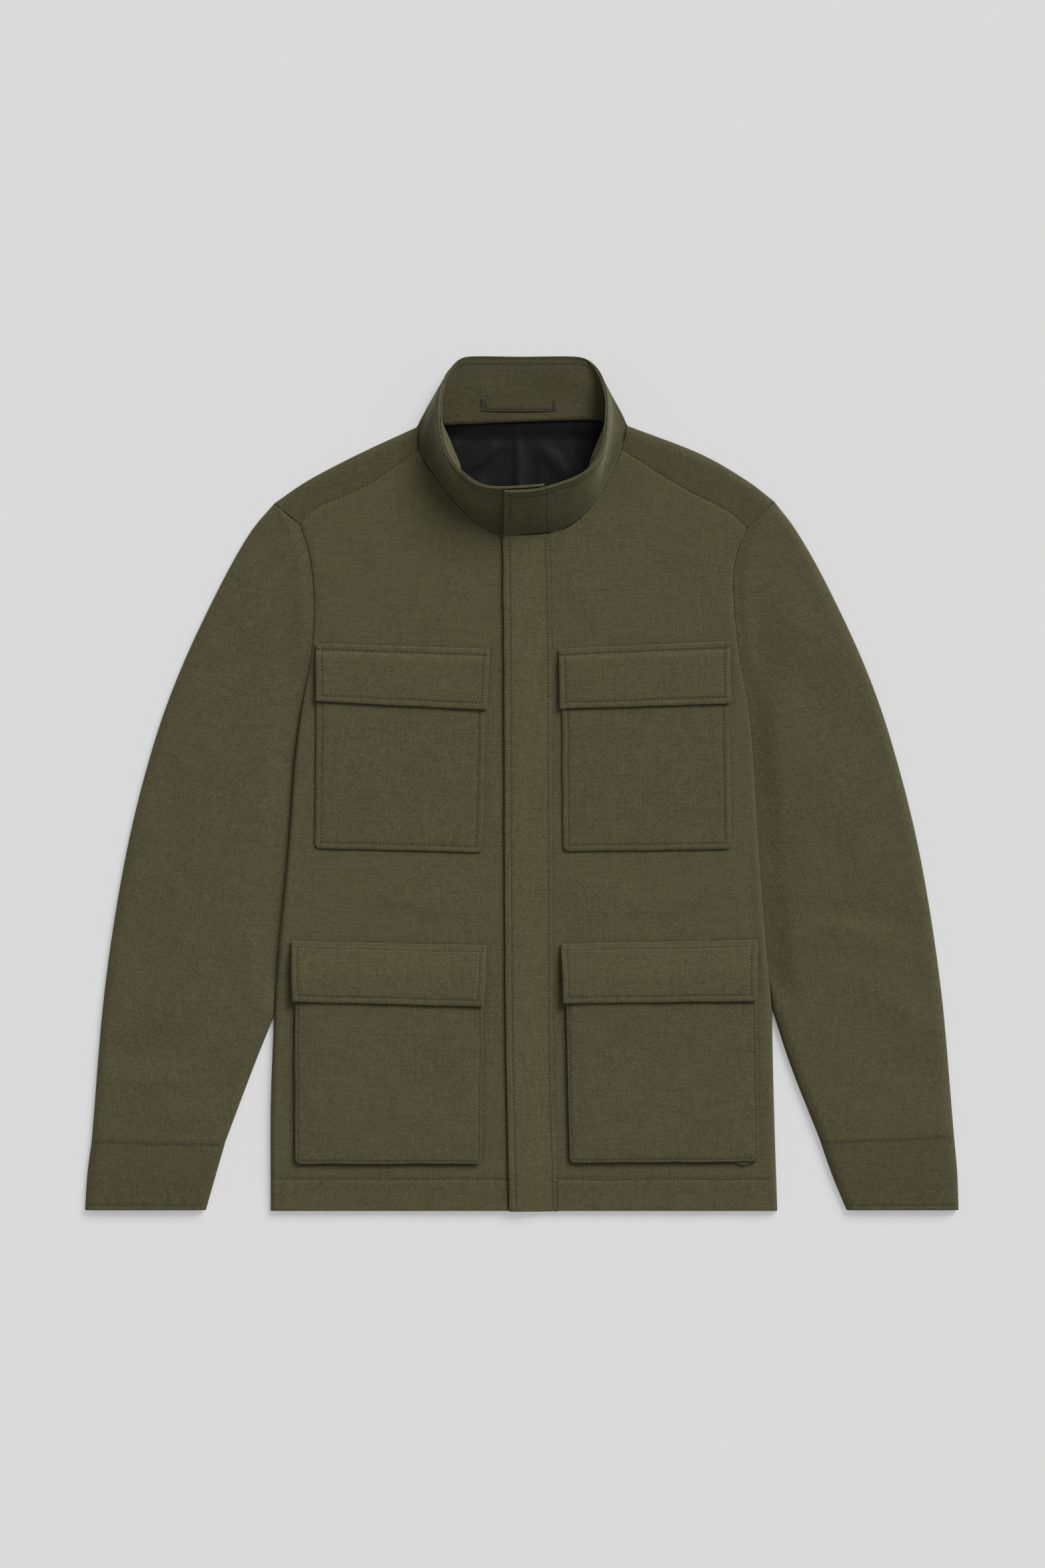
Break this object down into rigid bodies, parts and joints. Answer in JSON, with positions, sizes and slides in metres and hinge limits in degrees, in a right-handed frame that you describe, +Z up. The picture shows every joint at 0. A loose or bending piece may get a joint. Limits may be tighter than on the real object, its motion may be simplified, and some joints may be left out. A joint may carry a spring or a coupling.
{
  "type": "field jacket laid flat",
  "caption": "Olive cloth field jacket laid flat on its back, with a stand collar, a covered fly, flap pockets on the chest and bellows pockets below.",
  "frame": {"origin": "middle of the jacket's outline, on the surface that it lies on", "axes": "+X towards the wearer's left sleeve, +Y from the hem to the collar, +Z up, away from the surface"},
  "size_m": [0.786, 0.769, 0.0495],
  "materials": {
    "shell": "matt brushed olive cotton twill, washed",
    "trim": "matt olive cotton, folded and stitched, and olive sewing thread",
    "lining": "matt near-black lining"
  },
  "bodies": {
    "root": {"back": "shell", "front_right": "shell", "front_left": "shell", "placket": "shell", "collar": "shell", "hanger_loop": "trim", "lining_back": "lining", "sleeve_right": "shell", "sleeve_left": "shell", "cuff_right": "shell", "cuff_left": "shell", "chest_pocket_right": "shell", "chest_pocket_left": "shell", "chest_flap_right": "shell", "chest_flap_left": "shell", "lower_pocket_right": "shell", "lower_pocket_left": "shell", "lower_gusset_right": "shell", "lower_gusset_left": "shell", "lower_flap_right": "shell", "lower_flap_left": "shell"}
  },
  "joints": []
}
